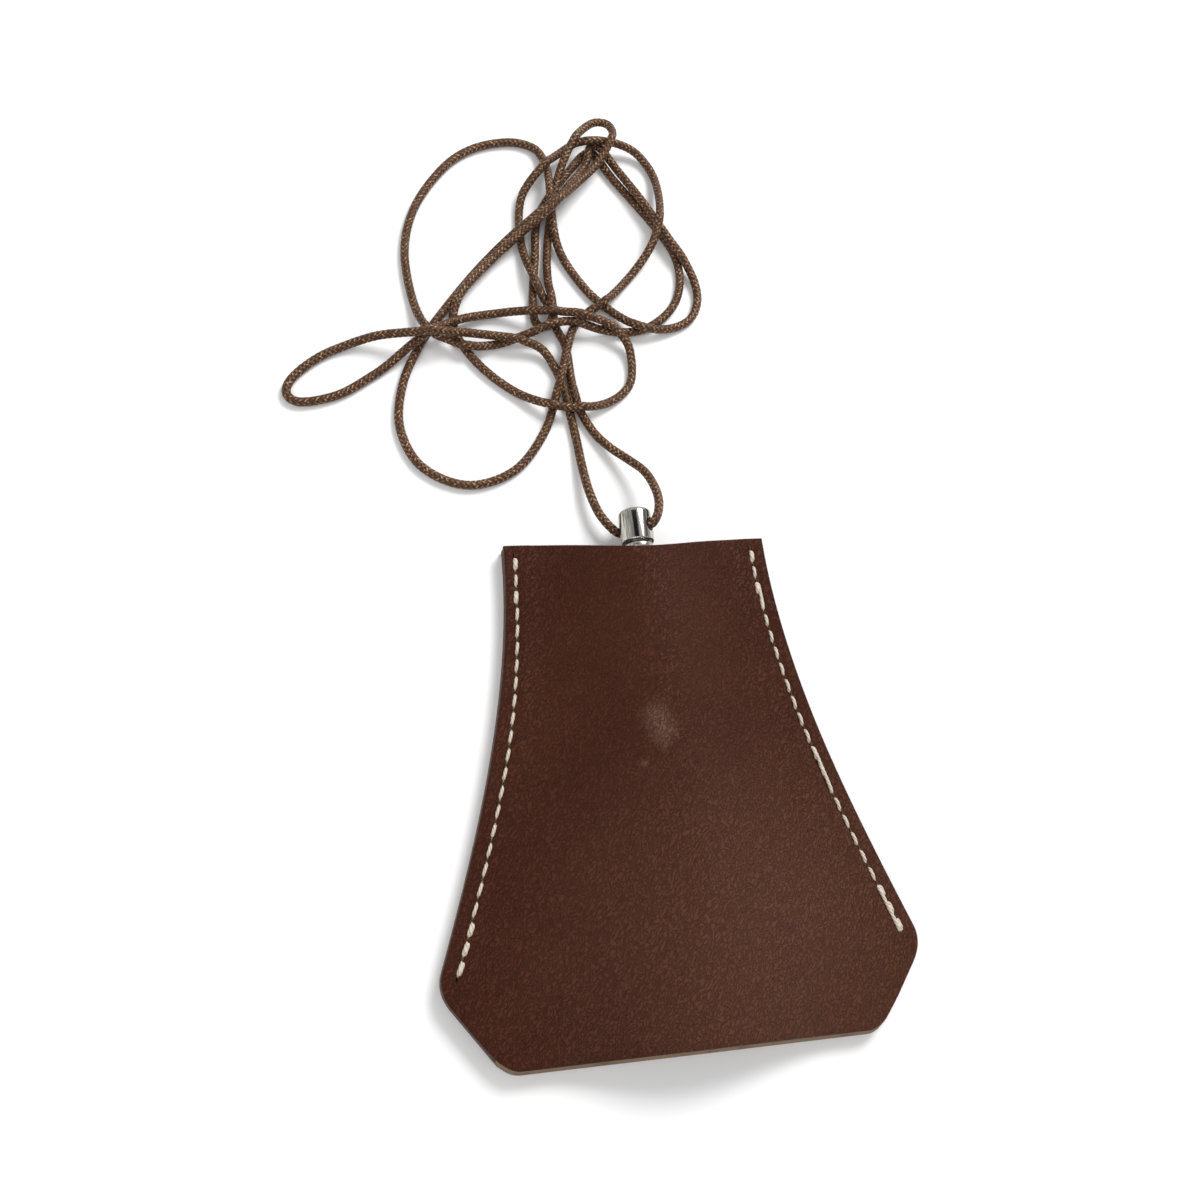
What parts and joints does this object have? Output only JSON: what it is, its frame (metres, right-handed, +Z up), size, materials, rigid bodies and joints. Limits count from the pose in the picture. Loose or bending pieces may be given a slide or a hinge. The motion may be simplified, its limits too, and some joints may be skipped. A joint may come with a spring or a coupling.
{
  "type": "leather key pouch on a neck cord",
  "caption": "Bell-shaped stitched leather key pouch with a swivel snap hook inside, hung on a thin braided neck cord through a metal barrel.",
  "frame": {"origin": "middle of the footprint of the pouch with its barrel, on the surface it lies on", "axes": "+Z up, +Y from the open mouth to the top edge and the cord, +X to the right seen from above"},
  "size_m": [0.0984, 0.1748, 0.0097],
  "materials": {
    "leather": "smooth dark reddish brown leather, fine grain, burnished edges",
    "waxed_thread": "thick waxed cream thread",
    "nickel": "polished nickel plate",
    "spring_steel": "plain bright steel",
    "waxed_cord": "round braided cord, waxed, dark brown with a golden sheen"
  },
  "bodies": {
    "pouch": {"front_panel": "leather", "rear_panel": "leather", "left_front_thread": "waxed_thread", "left_rear_thread": "waxed_thread", "right_front_thread": "waxed_thread", "right_rear_thread": "waxed_thread", "neck_cord": "waxed_cord"},
    "barrel": {"cord_barrel": "nickel", "barrel_collar": "nickel"},
    "hook": {"swivel_stem": "spring_steel", "hook_body": "nickel", "gate_pin": "spring_steel", "gate_spring": "spring_steel"},
    "gate": {"hook_gate": "nickel"}
  },
  "joints": [
    {"name": "key_slide", "type": "slide", "parent": "pouch", "child": "barrel", "axis": [0, -1, 0], "range_m": [0, 0.058], "deforming": ["neck_cord"]},
    {"name": "hook_swivel", "type": "hinge", "parent": "barrel", "child": "hook", "pos_m": [0, 0.0353, 0.00485], "axis": [0, -1, 0], "range_deg": [-8, 8]},
    {"name": "gate_hinge", "type": "hinge", "parent": "hook", "child": "gate", "pos_m": [0.0034, 0.0253, 0.00485], "axis": [0, 0, -1], "range_deg": [0, 15], "stiffness_Nm_per_rad": 0.004, "springref_deg": -17.19, "deforming": ["gate_spring"]}
  ]
}
